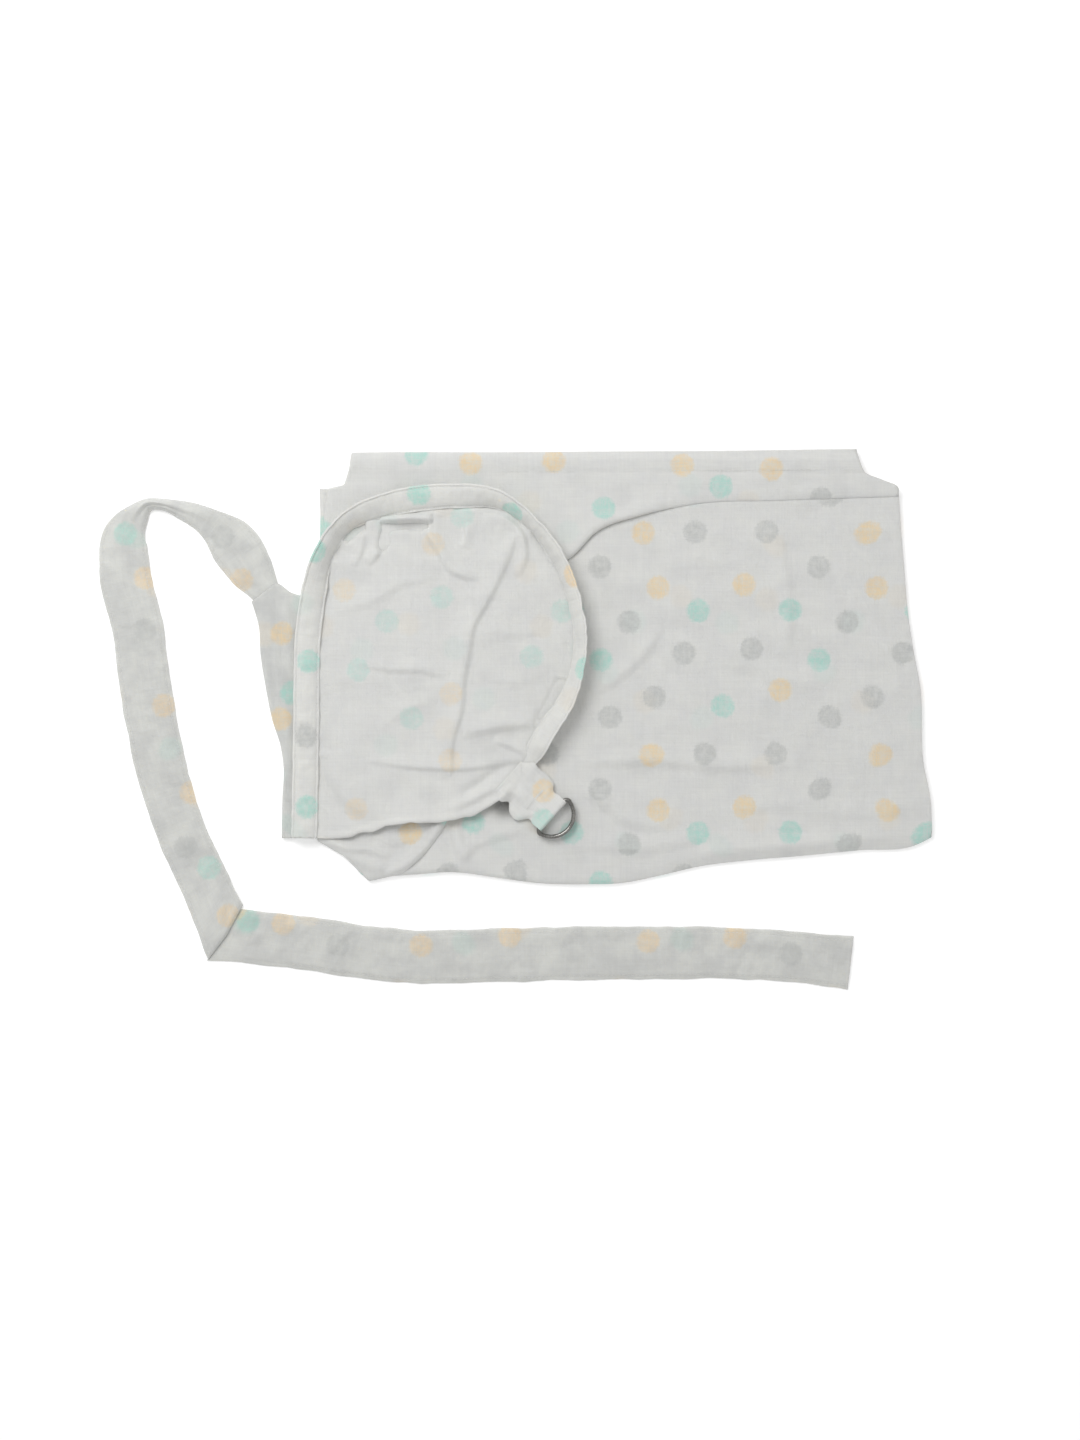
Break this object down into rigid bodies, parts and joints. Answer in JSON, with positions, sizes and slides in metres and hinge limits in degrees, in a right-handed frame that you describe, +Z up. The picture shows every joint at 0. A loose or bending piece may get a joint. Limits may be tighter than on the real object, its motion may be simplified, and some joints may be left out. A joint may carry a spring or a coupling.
{
  "type": "nursing cover",
  "caption": "Folded muslin nursing cover with a boned neckline, a long neck strap and a short tab with D-rings.",
  "frame": {"origin": "centre of the whole outline as it lies, on the surface that it rests on", "axes": "+X along the longest side towards the folded panel's right edge, +Y towards the hemmed top edge, +Z up off the surface"},
  "size_m": [0.6424, 0.4163, 0.0272],
  "materials": {
    "muslin": "white double-layer cotton muslin printed with soft aqua, peach and grey dots",
    "thread": "white sewing thread, dense bar tacks and topstitching",
    "boning_plastic": "translucent white flat boning",
    "nickel": "nickel-plated round wire"
  },
  "bodies": {
    "cover": {"cover_panel": "muslin", "neckline_casing": "muslin", "neckline_boning": "boning_plastic", "neck_strap": "muslin", "strap_bartack": "thread", "tab_bartack": "thread"},
    "tab": {"ring_tab": "muslin", "ring_loop_bartack": "thread"},
    "lower_ring": {"d_ring_lower": "nickel"},
    "upper_ring": {"d_ring_upper": "nickel"}
  },
  "joints": [
    {"name": "tab_lift", "type": "hinge", "parent": "cover", "child": "tab", "pos_m": [0.0023, -0.0497, 0.0099], "axis": [-0.6678, -0.7443, 0], "range_deg": [0, 120]},
    {"name": "rings_lift", "type": "hinge", "parent": "tab", "child": "lower_ring", "pos_m": [0.02798, -0.07274, 0.0113], "axis": [-0.6678, -0.7443, 0], "range_deg": [0, 90]},
    {"name": "upper_ring_open", "type": "hinge", "parent": "lower_ring", "child": "upper_ring", "pos_m": [0.02798, -0.07274, 0.0147], "axis": [-0.6678, -0.7443, 0], "range_deg": [0, 60]}
  ]
}
